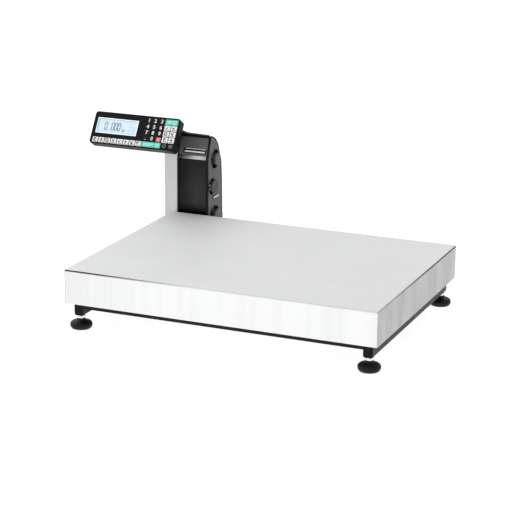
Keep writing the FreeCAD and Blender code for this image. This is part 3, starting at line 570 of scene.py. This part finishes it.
CAD_LOOKS = {
    PAN_STEEL: ["weighing_pan"],
    COLUMN_STEEL: ["column"],
    FRAME_BLACK: ["side_rails", "cross_rails", "centre_beam", "load_frame", "rear_bracket", "hinge_bracket",
                  "foot_bushes"],
    MOTOR_BLACK: ["drive_motor"],
    BLACK: ["rail_end_plugs", "column_cap", "terminal_bezel", "terminal_shell", "terminal_lug",
            "printer_housing", "power_inlet", "hinge_bolt", "bubble_level"],
    GREY: ["printer_head_cover", "cartridge_panel", "head_lever"],
    SMOOTH: ["printer_front_cover"],
    SILVER: ["label_exit_lip"],
    ZINC: ["load_cell_mounts", "overload_stops", "mounting_screws", "cartridge_rods"]
          + [f"foot_nut_{i}" for i in range(1, 5)],
    LATCH_STEEL: ["cartridge_latch"],
    # The cartridge plate's black is painted shade
    PLATE_SHADE_BLACK: ["cartridge_plate"],
    ALUMINIUM: ["load_cell", "signal_box", "print_head"],
    RUBBER: ["load_frame_pads", "platen_roller"],
    PAPER: ["label"],
    WOUND: ["label_roll"],
    LEVEL_FLUID: ["level_vial"],
    WINDOW: ["display_window"],
    DISPLAY: ["display_module"],
    BOARD: ["terminal_board"],
    ACETAL: ["idler_gear", "platen_gear", "motor_pinion"],
    SPOOL_GREY: ["roll_hub", "rewinder_spool"],
    PANEL_FILM: ["key_panel"],
}


def dress_cad_nodes():
    for look, names in CAD_LOOKS.items():
        for name in names:
            for slot in NODES[name].material_slots:
                slot.material = look.material


# ---------------------------------------------------------------- feet


GRIP_RIBS = 40
GRIP_DEPTH = 0.022
THREAD_PITCH, THREAD_RADIUS, THREAD_DEPTH = 1.75 * MM, 5.98 * MM, 0.55 * MM
THREAD_START = 25.0 * MM


def foot_grip(number):
    """Ribbed round pad with a flat sole and a dished top."""
    node = f"foot_pad_{number}"
    low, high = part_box(node)
    at = Vector(((low.x + high.x) / 2, (low.y + high.y) / 2, low.z))
    radius = (high.x - low.x) / 2
    profile = [(0.0065, 0.0), (radius - 0.0075, 0.0), (radius - 0.0040, 0.0009), (radius - 0.0014, 0.0042),
               (radius - 0.0002, 0.0082), (radius - 0.0002, 0.0118), (radius - 0.0016, 0.0152),
               (radius - 0.0046, 0.0176), (radius - 0.0082, 0.0190), (0.0150, 0.0197), (0.0118, 0.0204),
               (0.0107, 0.0216), (0.0105, 0.0256), (0.0095, 0.0266), (0.0065, 0.0266)]
    # How far the ribs reach at each point of the profile round the rim
    grip = {2: 0.35, 3: 0.8, 4: 1.0, 5: 1.0, 6: 0.8, 7: 0.4}

    def ripple(turn, index):
        depth = grip.get(index, 0.0) * GRIP_DEPTH
        return 1.0 - depth * (0.5 + 0.5 * math.cos(GRIP_RIBS * turn)) ** 2

    verts, faces = lathe(profile, at, segments=GRIP_RIBS * 6, ripple=ripple)
    piece = add_mesh(f"foot_grip_{number}", verts, faces, FOOT_BLACK, f"foot_{number}",
                     True)
    piece.modifiers.new("split_sharp", "EDGE_SPLIT").split_angle = math.radians(50)
    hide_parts(node)


def foot_thread(number):
    """Rolled thread on the foot's stud, from inside the pad's boss up."""
    node = f"foot_stud_{number}"
    low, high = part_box(node)
    at = Vector(((low.x + high.x) / 2, (low.y + high.y) / 2, 0))
    length, segments = high.z - THREAD_START, 28
    steps = int(length / THREAD_PITCH * 6)
    verts = []
    for step in range(steps + 1):
        z = THREAD_START + length * step / steps
        for i in range(segments):
            phase = (z / THREAD_PITCH - i / segments) % 1.0
            reach = THREAD_RADIUS - THREAD_DEPTH * abs(2 * phase - 1)
            turn = 2 * math.pi * i / segments
            verts.append(at + Vector((reach * math.cos(turn), reach * math.sin(turn), z)))
    piece = add_mesh(f"foot_thread_{number}", verts, ring_faces(steps + 1, segments), ZINC,
                     f"foot_{number}", True)
    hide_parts(node)


# ---------------------------------------------------------------- pan


def pan_seams():
    """Weld beads down the inner corners, where the folded skirts meet."""
    parts = []
    inset, bead = 1.9 * MM, 1.3 * MM
    for side_x, x in ((-1, PAN_LOW.x), (1, PAN_HIGH.x)):
        for side_y, y in ((-1, PAN_LOW.y), (1, PAN_HIGH.y)):
            at = Vector((x - side_x * inset, y - side_y * inset, PAN_LOW.z + 0.5 * MM))
            length = PAN_HIGH.z - PAN_LOW.z - 5 * MM
            rings = [(bead * (1.0 + 0.12 * (i % 2)), length * i / 60) for i in range(61)]
            parts.append(lathe([(0.1 * MM, 0.0)] + rings + [(0.1 * MM, length)], at, "z", 12))
    verts, faces = merge(parts)
    return add_mesh("pan_corner_welds", verts, faces, COLUMN_STEEL, "pan", True)


# ---------------------------------------------------------------- terminal face

TILT = math.radians(31.4)
FACE_UP = Vector((0, math.sin(TILT), math.cos(TILT)))
FACE_OUT = Vector((0, -math.cos(TILT), math.sin(TILT)))
FILM = 0.6 * MM
PANEL_U0, PANEL_V0 = 4.65, 3.75
PANEL_HEIGHT = (PANEL_HIGH.y - PANEL_LOW.y - FILM * math.cos(TILT)) / math.sin(TILT)
PANEL_CORNER = Vector((PANEL_LOW.x, PANEL_LOW.y, PANEL_HIGH.z - PANEL_HEIGHT * math.cos(TILT)))
FACE_CORNER = PANEL_CORNER - Vector((PANEL_U0 * MM, 0, 0)) - FACE_UP * (PANEL_V0 * MM)


def on_face(u, v, out=0.0):
    """A point u to the right and v up from the terminal's lower left corner, in millimetres."""
    return FACE_CORNER + Vector((u * MM, 0, 0)) + FACE_UP * (v * MM) + FACE_OUT * (out * MM)


def key(u0, u1, v0, v1, height=0.28, radius=1.3):
    return plate(round_outline(u0, u1, v0, v1, radius), on_face, -0.05, height, 0.14)


def face_piece(name, parts, look):
    verts, faces = merge(parts)
    return add_mesh(name, verts, faces, look, "terminal")


ROW_KEYS = [(8.6 + 18.4 * i, 25.0 + 18.4 * i, 4.1, 18.4) for i in range(8)]
BLOCK_KEYS = [(u, u + 17.2, 20.4 + 16.7 * row, 35.6 + 16.7 * row) for row in range(3) for u in (211.4, 230.4)]
TEAL_KEYS = [(155.2, 210.6, 4.1, 18.8), (210.6, 247.6, 70.4, 86.2)]
RED_KEY = (194.4, 207.8, 21.4, 33.8)
DIGIT_COLUMNS = (162.6, 181.2, 200.6)
DIGIT_ROWS = (78.4, 61.0, 44.4, 28.6)


def bar(u0, u1, v0, v1, out):
    """A flat printed bar, standing a hair above the surface at out."""
    return plate([(u0, v0), (u1, v0), (u1, v1), (u0, v1)], on_face, out, out + 0.05)


def strokes(points, width, out):
    """Straight bars from point to point."""
    parts = []
    for (a, b), (c, d) in zip(points, points[1:]):
        length = math.hypot(c - a, d - b)
        nx, ny = -(d - b) / length * width / 2, (c - a) / length * width / 2
        outline = [(a - nx, b - ny), (c - nx, d - ny), (c + nx, d + ny), (a + nx, b + ny)]
        parts.append(plate(outline, on_face, out, out + 0.05))
    return parts


# Plain marks for the keys, as strokes in a square of two by two
ICONS = [
    [[(-1, 0.8), (1, 0.8)], [(-1, 0), (1, 0)], [(-1, -0.8), (0.3, -0.8)]],
    [[(-1, 0), (1, 0)], [(0.1, 0.9), (1, 0), (0.1, -0.9)]],
    [[(-0.9, -0.9), (0.9, -0.9), (0.9, 0.9), (-0.9, 0.9), (-0.9, -0.9)]],
    [[(-0.8, -0.8), (0.8, 0.8)], [(-0.8, 0.8), (0.8, -0.8)]],
    [[(-0.9, 0), (-0.2, -0.8), (0.9, 0.8)]],
    [[(0, -0.9), (0, 0.9)], [(-0.9, 0), (0.9, 0)]],
    [[(-0.9, 0.7), (0, -0.6), (0.9, 0.7)], [(-0.9, -0.9), (0.9, -0.9)]],
    [[(-0.9, -0.9), (-0.9, 0.9), (0.9, 0.9)], [(-0.9, 0), (0.6, 0)]],
]


def icon(index, u, v, size, out, width=1.9):
    parts = []
    for line in ICONS[index % len(ICONS)]:
        parts += strokes([(u + x * size / 2, v + y * size / 2) for x, y in line], width, out)
    return parts


def key_legends():
    """Dark marks on the white keys, pale marks on the coloured keys."""
    dark, pale, top = [], [], 0.29
    for index, (u0, u1, v0, v1) in enumerate(ROW_KEYS + BLOCK_KEYS):
        u, v = (u0 + u1) / 2, (v0 + v1) / 2
        dark += icon(index, u - 1.4, v + 1.2, 7.4, top)
        dark += [bar(u - 5.2, u + 6.0, v - 5.6, v - 4.2, top)]
    for u0, u1, v0, v1 in TEAL_KEYS:
        v, run = (v0 + v1) / 2, u1 - u0
        pale += [bar(u0 + 5, u0 + 0.62 * run, v + 0.8, v + 3.0, top)]
        pale += [bar(u0 + 5, u0 + 0.5 * run, v - 3.0, v - 1.2, top)]
        pale += icon(2, u1 - 9.5, v, 8.0, top)
    u0, u1, v0, v1 = RED_KEY
    pale += icon(0, (u0 + u1) / 2, (v0 + v1) / 2, 5.6, top, 1.0)
    face_piece("key_marks_dark", dark, INK_DARK)
    face_piece("key_marks_pale", pale, INK_WHITE)


def glyph(text, u, v, height, out):
    """A flat printed figure centred on (u, v)."""
    curve = bpy.data.curves.new("figure", "FONT")
    curve.body = text
    curve.align_x, curve.align_y = "CENTER", "CENTER"
    curve.size = height / 0.72 * MM
    curve.extrude = 0.025 * MM
    curve.offset = 0.34 * MM
    curve.resolution_u = 3
    maker = bpy.data.objects.new("figure", curve)
    bpy.context.scene.collection.objects.link(maker)
    bpy.context.view_layer.update()
    data = bpy.data.meshes.new_from_object(maker.evaluated_get(bpy.context.evaluated_depsgraph_get()))
    bpy.data.objects.remove(maker)
    axes = Matrix(((1, 0, 0), (0, FACE_UP.y, FACE_OUT.y), (0, FACE_UP.z, FACE_OUT.z))).to_4x4()
    data.transform(Matrix.Translation(on_face(u, v, out)) @ axes)
    verts = [vertex.co.copy() for vertex in data.vertices]
    faces = [tuple(polygon.vertices) for polygon in data.polygons]
    bpy.data.meshes.remove(data)
    return verts, faces


def digit_keys():
    """Black keys with white figures."""
    caps, printed = [], []
    for row, text in zip(DIGIT_ROWS, ("123", "456", "789", ".0")):
        for column, figure in zip(DIGIT_COLUMNS, text):
            caps.append(key(column - 8.0, column + 8.0, row - 7.0, row + 7.0, height=0.22, radius=2.0))
            printed.append(glyph(figure, column, row, 10.4, 0.24))
    face_piece("digit_keys", caps, KEY_DARK)
    face_piece("key_figures", printed, INK_WHITE)


def corner_marks():
    """A plain ring and three plain bars in grey, in the lower right corner of the key panel."""
    middle, radius, out = 11.6, 4.2, 0.01
    ring = []
    for i in range(13):
        turn = 2 * math.pi * i / 12
        ring.append((221.8 + radius * math.cos(turn), middle + radius * math.sin(turn)))
    parts = strokes(ring, 1.2, out)
    for rise in (-3.2, 0.0, 3.2):
        parts.append(bar(235.0, 246.0, middle + rise - 0.6, middle + rise + 0.6, out))
    face_piece("corner_marks", parts, INK_GREY)


# Heights over the face: the lit front of the display module and, over it, the window
FIELD_OUT = -2.66
GLASS_OUT = -0.19
WINDOW_U0, WINDOW_U1, WINDOW_V0, WINDOW_V1 = 11.4, 133.0, 30.7, 74.3


def seven_segments(u, v, height, width, segments, slant=0.05):
    """The lit bars of one figure with its lower left corner at (u, v)."""
    thick, gap = 1.9, 0.25
    half = height / 2
    places = {
        "a": (0, height, width, height), "d": (0, 0, width, 0), "g": (0, half, width, half),
        "b": (width, half, width, height), "c": (width, 0, width, half),
        "e": (0, 0, 0, half), "f": (0, half, 0, height),
    }
    parts = []
    for name in segments:
        a, b, c, d = places[name]
        length = math.hypot(c - a, d - b)
        dx, dy = (c - a) / length, (d - b) / length
        tip, shoulder, t = gap, gap + thick / 2, thick / 2
        points = [(tip, 0), (shoulder, -t), (length - shoulder, -t), (length - tip, 0),
                  (length - shoulder, t), (shoulder, t)]
        outline = []
        for along, across in points:
            x, y = a + dx * along - dy * across, b + dy * along + dx * across
            outline.append((u + x + slant * y, v + y))
        parts.append(plate(outline, on_face, FIELD_OUT + 0.02, FIELD_OUT + 0.08))
    return parts


def display_reading():
    """0.000, a unit mark after it and small faint markers to the right."""
    height, width, base, ink = 20.5, 6.6, 42.0, FIELD_OUT + 0.02
    parts = []
    for u in (34.6, 54.4, 64.1, 73.8):
        parts += seven_segments(u, base, height, width, "abcdef")
    parts.append(bar(48.0, 50.0, base - 0.9, base + 1.1, ink))
    for u in (88.4, 93.0):
        parts += strokes([(u, base - 2.4), (u, base + 4.2)], 0.9, ink)
        parts += strokes([(u + 3.0, base - 2.4), (u, base + 0.8), (u + 3.0, base + 3.6)], 0.8, ink)
    face_piece("display_figures", parts, LCD_INK)
    faint = []
    for row in range(4):
        v = 36.5 + 9.2 * row
        faint += [bar(107.0, 115.5, v - 0.5, v + 0.7, ink)]
        faint += icon(row + 1, 121.5, v, 4.0, ink, 0.7)
    face_piece("display_markers", faint, LCD_FAINT)


def display_frame():
    """Pale border printed on the window round the lit field."""
    u0, u1, v0, v1 = WINDOW_U0 + 2.6, WINDOW_U1 - 2.6, WINDOW_V0 + 2.6, WINDOW_V1 - 2.6
    strips = [(WINDOW_U0, WINDOW_U1, WINDOW_V0, v0), (WINDOW_U0, WINDOW_U1, v1, WINDOW_V1),
              (WINDOW_U0, u0, v0, v1), (u1, WINDOW_U1, v0, v1)]
    face_piece("display_border", [bar(*strip, GLASS_OUT) for strip in strips], LCD_BORDER)


def build_face():
    face_piece("white_keys", [key(*place) for place in ROW_KEYS + BLOCK_KEYS], KEY_WHITE)
    face_piece("teal_keys", [key(*place) for place in TEAL_KEYS], KEY_TEAL)
    face_piece("red_key", [key(*RED_KEY)], KEY_RED)
    key_legends()
    digit_keys()
    corner_marks()
    display_frame()
    display_reading()


# ---------------------------------------------------------------- printer trim


def scalloped_knob(name, at, radius, thick, scallops, body, ribs):
    """Hand knob with a scalloped rim and raised ribs across its face, standing out along X."""
    profile = [(radius * 0.35, 0.0), (radius - 0.5 * MM, 0.0), (radius, 0.5 * MM),
               (radius, thick - 1.1 * MM), (radius - 0.8 * MM, thick - 0.2 * MM), (radius * 0.86, thick),
               (radius * 0.80, thick - 0.5 * MM), (radius * 0.30, thick - 0.5 * MM)]

    def ripple(turn, index):
        depth = 0.05 if index in (2, 3) else 0.04 if index in (1, 4) else 0.0
        return 1.0 - depth * (0.5 + 0.5 * math.cos(scallops * turn)) ** 3

    parts = [lathe(profile, at, "x", scallops * 6, ripple)]
    for i in range(ribs):
        turn = math.pi * (i + 0.25) / ribs
        along = Vector((0, math.cos(turn), math.sin(turn)))
        across = Vector((0, -math.sin(turn), math.cos(turn)))
        parts.append(rib(at, along, across, radius * 0.78, 0.8 * MM, thick - 0.6 * MM, thick + 0.1 * MM))
    verts, faces = merge(parts)
    piece = add_mesh(name, verts, faces, SPOOL_GREY, body, True)
    piece.modifiers.new("split_sharp", "EDGE_SPLIT").split_angle = math.radians(35)
    return piece


def rib(at, along, across, reach, half, low, high):
    """A straight rib through a point, standing from low to high along X and narrower at the top."""
    verts = []
    for height, length, width in ((low, reach, half), (high, reach * 0.97, half * 0.55)):
        for sa, sc in ((-1, -1), (1, -1), (1, 1), (-1, 1)):
            verts.append(at + along * (sa * length) + across * (sc * width) + Vector((height, 0, 0)))
    faces = [(3, 2, 1, 0), (4, 5, 6, 7), (0, 1, 5, 4), (1, 2, 6, 5), (2, 3, 7, 6), (3, 0, 4, 7)]
    return verts, faces


def rewinder_trim():
    """The rewinder's hand knob, and inside it a flange that carries two pairs of pins, painted white as a
    glint.
    """
    low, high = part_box("rewinder_knob")
    knob = scalloped_knob("rewinder_grip", Vector((low.x, SPOOL.y, SPOOL.z)), (high.y - low.y) / 2,
                          high.x - low.x, 24, "rewinder", 4)
    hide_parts("rewinder_knob")

    thick, inner, outer = 1.6 * MM, 5.1 * MM, 15.0 * MM
    flange_face = low.x - 7.4 * MM
    ring = [(inner, 0.0), (outer - 0.5 * MM, 0.0), (outer, 0.5 * MM), (outer, thick), (inner, thick)]
    verts, faces = lathe(ring, Vector((flange_face - thick, SPOOL.y, SPOOL.z)), "x", 40)
    add_mesh("rewinder_flange", verts, faces, BLACK, "rewinder", True)

    circle, spread, pin_radius = 12.2 * MM, 0.42, 2.9 * MM
    pins = []
    for turn in (-spread, spread, math.pi - spread, math.pi + spread):
        at = Vector((flange_face, SPOOL.y - circle * math.cos(turn), SPOOL.z + circle * math.sin(turn)))
        pins.append(screw_head(at, Vector((1, 0, 0)), pin_radius))
    verts, faces = merge(pins)
    # The pins are painted white as a glint in the knob's hollow
    add_mesh("rewinder_glint_pins", verts, faces, INK_WHITE, "rewinder", True)


def roll_hub_trim():
    """Five ribs round the outer face of the label roll's hub."""
    hub_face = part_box("roll_hub")[1].x
    ribs = []
    for i in range(5):
        turn = 2 * math.pi * i / 5 + 0.3
        along = Vector((0, math.cos(turn), math.sin(turn)))
        across = Vector((0, -math.sin(turn), math.cos(turn)))
        at = Vector((hub_face, ROLL.y, ROLL.z)) + along * 16 * MM
        ribs.append(rib(at, along, across, 8.5 * MM, 1.1 * MM, -0.1 * MM, 0.35 * MM))
    verts, faces = merge(ribs)
    add_mesh("roll_hub_ribs", verts, faces, HUB_RIB, "supply_roll")


# The printer's back wall leans forward by 4.5 mm over its lower 157 mm
BACK_LEAN = 4.5 / 157.0
VENT_COUNT, VENT_PITCH, VENT_RISE, VENT_INSET = 7, 9 * MM, 72 * MM, 18 * MM


def back_vents():
    """Raised louvres on the printer's back wall."""
    x0, x1 = HOUSING_LOW.x + VENT_INSET, HOUSING_HIGH.x - VENT_INSET
    parts = []
    for i in range(VENT_COUNT):
        up = VENT_RISE + VENT_PITCH * i
        wall, z = HOUSING_HIGH.y - up * BACK_LEAN, HOUSING_LOW.z + up
        verts = [Vector((x, wall + out, z + rise)) for x in (x0, x1)
                 for out, rise in ((-0.3 * MM, -2 * MM), (0.9 * MM, -1 * MM), (-0.3 * MM, 2 * MM))]
        faces = [(0, 1, 2), (5, 4, 3), (0, 3, 4, 1), (1, 4, 5, 2), (2, 5, 3, 0)]
        parts.append((verts, faces))
    verts, faces = merge(parts)
    add_mesh("printer_louvres", verts, faces, BLACK, "frame")


def screw_head(at, facing, radius):
    """Round head with a cross slot, looking along the given direction."""
    turn = facing.to_track_quat("Z", "Y").to_matrix()
    steps = ((1.0, 0.0), (1.0, 0.35), (0.8, 0.6), (0.45, 0.7), (0.2, 0.35))
    profile = [(radius * out, radius * up) for out, up in steps]
    flat = Vector((0, 0, 0))

    def cross(angle, index):
        return 0.75 if index == 3 and round(angle / (math.pi / 12)) % 6 == 0 else 1.0

    verts, faces = lathe(profile, flat, "z", 24, cross)
    return [at + turn @ v for v in verts], faces


def terminal_screws():
    """Four screws in the back of the terminal, 30 mm behind its face."""
    parts = []
    for u in (14.0, 239.0):
        for v in (14.0, 78.0):
            parts.append(screw_head(on_face(u, v, -30.0), -FACE_OUT, 3.0 * MM))
    verts, faces = merge(parts)
    add_mesh("terminal_screws", verts, faces, ZINC, "terminal", True)


# ---------------------------------------------------------------- floor, light and camera


FLOOR_GLOW = 0.92
FLOOR_REACH = 40.0


def floor():
    """A plain pale floor that glows, like a lit table, so that shadows stay soft."""
    r = FLOOR_REACH
    data = bpy.data.meshes.new("floor")
    data.from_pydata([(-r, -r, 0), (r, -r, 0), (r, r, 0), (-r, r, 0)], [], [(0, 1, 2, 3)])
    look = Look("floor_white", (0.28, 0.28, 0.28), 0.9)
    look.shader.inputs["Specular IOR Level"].default_value = 0.0
    look.shader.inputs["Emission Color"].default_value = (1, 1, 1, 1)
    look.shader.inputs["Emission Strength"].default_value = FLOOR_GLOW
    data.materials.append(look.material)
    piece = bpy.data.objects.new("floor", data)
    bpy.context.scene.collection.objects.link(piece)


def area_light(name, at, target, size, power):
    lamp = bpy.data.lights.new(name, "AREA")
    lamp.shape = "RECTANGLE"
    lamp.size, lamp.size_y = size
    lamp.energy = power
    holder = bpy.data.objects.new(name, lamp)
    holder.location = at
    holder.rotation_euler = (Vector(target) - Vector(at)).to_track_quat("-Z", "Y").to_euler()
    bpy.context.scene.collection.objects.link(holder)


# Axis, the stretch of it over which the dome's strength changes, and the strength at either end
DOME = (("X", 0.0, 0.7, 1.0, 0.45), ("Z", 0.40, 0.75, 1.0, 0.85))


def studio():
    """A bright dome, dimmer to the right and overhead, and one large soft lamp on the left."""
    world = bpy.data.worlds.new("studio")
    bpy.context.scene.world = world
    world.use_nodes = True
    tree = world.node_tree
    background = tree.nodes["Background"]
    direction = tree.nodes.new("ShaderNodeTexCoord").outputs["Generated"]
    split = tree.nodes.new("ShaderNodeSeparateXYZ")
    tree.links.new(direction, split.inputs[0])
    strength = None
    for axis, low, high, at_low, at_high in DOME:
        ramp = tree.nodes.new("ShaderNodeMapRange")
        for name, number in (("From Min", low), ("From Max", high), ("To Min", at_low), ("To Max", at_high)):
            ramp.inputs[name].default_value = number
        tree.links.new(split.outputs[axis], ramp.inputs["Value"])
        if strength is None:
            strength = ramp.outputs["Result"]
        else:
            product = tree.nodes.new("ShaderNodeMath")
            product.operation = "MULTIPLY"
            tree.links.new(strength, product.inputs[0])
            tree.links.new(ramp.outputs["Result"], product.inputs[1])
            strength = product.outputs[0]
    tree.links.new(strength, background.inputs["Strength"])
    background.inputs["Color"].default_value = (1.0, 1.0, 1.0, 1)
    area_light("key_lamp", (-3.4, 0.6, 3.0), (0.0, 0.0, 0.1), (2.6, 2.6), 35)


CAMERA_AT = Vector((1.7321, -3.9555, 1.3932))
CAMERA_AZIMUTH, CAMERA_ELEVATION, CAMERA_ROLL = 22.893, 16.322, 0.515
CAMERA_LENS, CAMERA_SENSOR = 125.2, 36.0


def camera():
    """The camera that took the reference view: place, aim, roll about its own axis and lens."""
    a, e, r = (math.radians(x) for x in (CAMERA_AZIMUTH, CAMERA_ELEVATION, CAMERA_ROLL))
    back = Vector((math.sin(a) * math.cos(e), -math.cos(a) * math.cos(e), math.sin(e)))
    right = Vector((math.cos(a), math.sin(a), 0))
    up = back.cross(right)
    right, up = right * math.cos(r) + up * math.sin(r), up * math.cos(r) - right * math.sin(r)
    lens = bpy.data.cameras.new("camera")
    lens.lens, lens.sensor_width = CAMERA_LENS, CAMERA_SENSOR
    lens.clip_end = 200.0
    holder = bpy.data.objects.new("camera", lens)
    holder.matrix_world = Matrix((
        (right.x, up.x, back.x, CAMERA_AT.x),
        (right.y, up.y, back.y, CAMERA_AT.y),
        (right.z, up.z, back.z, CAMERA_AT.z),
        (0, 0, 0, 1)))
    bpy.context.scene.collection.objects.link(holder)
    bpy.context.scene.camera = holder


# ---------------------------------------------------------------- build

bpy.context.scene.view_settings.view_transform = "Standard"
dress_cad_nodes()
for foot in range(1, 5):
    foot_grip(foot)
    foot_thread(foot)
pan_seams()
build_face()
rewinder_trim()
roll_hub_trim()
back_vents()
terminal_screws()
floor()
studio()
camera()
